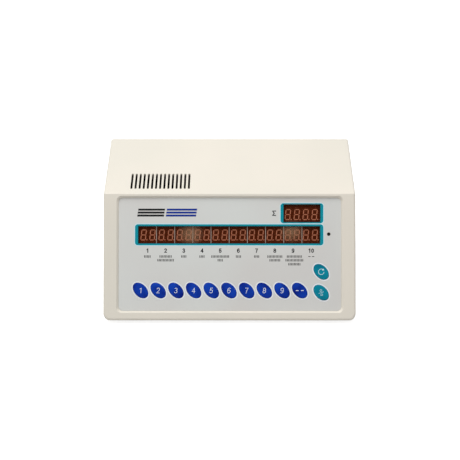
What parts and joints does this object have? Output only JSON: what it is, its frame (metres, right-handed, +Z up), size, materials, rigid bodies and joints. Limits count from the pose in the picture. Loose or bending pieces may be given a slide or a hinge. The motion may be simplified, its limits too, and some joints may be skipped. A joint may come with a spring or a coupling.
{
  "type": "differential cell counter",
  "caption": "Desktop counter with a sloping case, a recessed panel of tinted displays, a row of oval push keys with two function keys, top vents and a rear mains inlet and switch.",
  "frame": {"origin": "centre of the bounding box at the bottom of the feet", "axes": "+X to the right along the panel, +Y to the rear, +Z up"},
  "size_m": [0.21, 0.1517, 0.1044],
  "materials": {
    "case_plastic": "fine moulded grain",
    "panel_metal": "satin paint",
    "film_grey": "smooth satin print",
    "window_tint": "tinted clear acrylic",
    "display_housing": "satin",
    "segment": "diffusing resin",
    "key_blue": "gloss",
    "key_teal": "gloss",
    "switch_black": "moulded",
    "component_black": "moulded",
    "board_green": "lacquered laminate",
    "lamination_steel": "varnished laminations",
    "winding": "taped copper winding",
    "ribbon_grey": "flat cable",
    "lead_brown": "insulated wire",
    "fitting_black": "moulded",
    "rocker_black": "gloss",
    "terminal_brass": "bright",
    "screw_steel": "zinc plated",
    "foot_rubber": "matt"
  },
  "bodies": {
    "case": {"base_tray": "case_plastic", "board_chips": "component_black", "board_screws": "screw_steel", "buzzer": "component_black", "case_screws": "screw_steel", "counter_display_1": "display_housing", "counter_display_10": "display_housing", "counter_display_2": "display_housing", "counter_display_3": "display_housing", "counter_display_4": "display_housing", "counter_display_5": "display_housing", "counter_display_6": "display_housing", "counter_display_7": "display_housing", "counter_display_8": "display_housing", "counter_display_9": "display_housing", "display_segments": "segment", "main_window": "window_tint", "mains_inlet": "fitting_black", "mains_leads": "lead_brown", "mains_terminals": "terminal_brass", "overlay_film": "film_grey", "panel_board": "board_green", "panel_screws": "screw_steel", "power_board": "board_green", "power_parts": "component_black", "rear_panel": "panel_metal", "ribbon_cable": "ribbon_grey", "rocker_housing": "fitting_black", "rubber_feet": "foot_rubber", "switch_bodies": "switch_black", "top_cover": "case_plastic", "total_display": "display_housing", "total_window": "window_tint", "transformer_coil": "winding", "transformer_core": "lamination_steel"},
    "rocker_body": {"power_rocker": "rocker_black"},
    "key_1_body": {"key_1": "key_blue", "key_1_plunger": "switch_black"},
    "key_2_body": {"key_2": "key_blue", "key_2_plunger": "switch_black"},
    "key_3_body": {"key_3": "key_blue", "key_3_plunger": "switch_black"},
    "key_4_body": {"key_4": "key_blue", "key_4_plunger": "switch_black"},
    "key_5_body": {"key_5": "key_blue", "key_5_plunger": "switch_black"},
    "key_6_body": {"key_6": "key_blue", "key_6_plunger": "switch_black"},
    "key_7_body": {"key_7": "key_blue", "key_7_plunger": "switch_black"},
    "key_8_body": {"key_8": "key_blue", "key_8_plunger": "switch_black"},
    "key_9_body": {"key_9": "key_blue", "key_9_plunger": "switch_black"},
    "key_10_body": {"key_10": "key_blue", "key_10_plunger": "switch_black"},
    "reset_key_body": {"reset_key": "key_teal", "reset_key_plunger": "switch_black"},
    "percent_key_body": {"percent_key": "key_teal", "percent_key_plunger": "switch_black"}
  },
  "joints": [
    {"name": "key_1_press", "type": "slide", "parent": "case", "child": "key_1_body", "axis": [0, 0.8829, -0.4695], "range_m": [0, 0.0005], "stiffness_N_per_m": 2000, "springref_m": -0.0005},
    {"name": "key_2_press", "type": "slide", "parent": "case", "child": "key_2_body", "axis": [0, 0.8829, -0.4695], "range_m": [0, 0.0005], "stiffness_N_per_m": 2000, "springref_m": -0.0005},
    {"name": "key_3_press", "type": "slide", "parent": "case", "child": "key_3_body", "axis": [0, 0.8829, -0.4695], "range_m": [0, 0.0005], "stiffness_N_per_m": 2000, "springref_m": -0.0005},
    {"name": "key_4_press", "type": "slide", "parent": "case", "child": "key_4_body", "axis": [0, 0.8829, -0.4695], "range_m": [0, 0.0005], "stiffness_N_per_m": 2000, "springref_m": -0.0005},
    {"name": "key_5_press", "type": "slide", "parent": "case", "child": "key_5_body", "axis": [0, 0.8829, -0.4695], "range_m": [0, 0.0005], "stiffness_N_per_m": 2000, "springref_m": -0.0005},
    {"name": "key_6_press", "type": "slide", "parent": "case", "child": "key_6_body", "axis": [0, 0.8829, -0.4695], "range_m": [0, 0.0005], "stiffness_N_per_m": 2000, "springref_m": -0.0005},
    {"name": "key_7_press", "type": "slide", "parent": "case", "child": "key_7_body", "axis": [0, 0.8829, -0.4695], "range_m": [0, 0.0005], "stiffness_N_per_m": 2000, "springref_m": -0.0005},
    {"name": "key_8_press", "type": "slide", "parent": "case", "child": "key_8_body", "axis": [0, 0.8829, -0.4695], "range_m": [0, 0.0005], "stiffness_N_per_m": 2000, "springref_m": -0.0005},
    {"name": "key_9_press", "type": "slide", "parent": "case", "child": "key_9_body", "axis": [0, 0.8829, -0.4695], "range_m": [0, 0.0005], "stiffness_N_per_m": 2000, "springref_m": -0.0005},
    {"name": "key_10_press", "type": "slide", "parent": "case", "child": "key_10_body", "axis": [0, 0.8829, -0.4695], "range_m": [0, 0.0005], "stiffness_N_per_m": 2000, "springref_m": -0.0005},
    {"name": "reset_key_press", "type": "slide", "parent": "case", "child": "reset_key_body", "axis": [0, 0.8829, -0.4695], "range_m": [0, 0.0005], "stiffness_N_per_m": 2000, "springref_m": -0.0005},
    {"name": "percent_key_press", "type": "slide", "parent": "case", "child": "percent_key_body", "axis": [0, 0.8829, -0.4695], "range_m": [0, 0.0005], "stiffness_N_per_m": 2000, "springref_m": -0.0005},
    {"name": "power_rocker_tip", "type": "hinge", "parent": "case", "child": "rocker_body", "pos_m": [-0.027, 0.06915, 0.057], "axis": [1, 0, 0], "range_deg": [0, 20]}
  ]
}
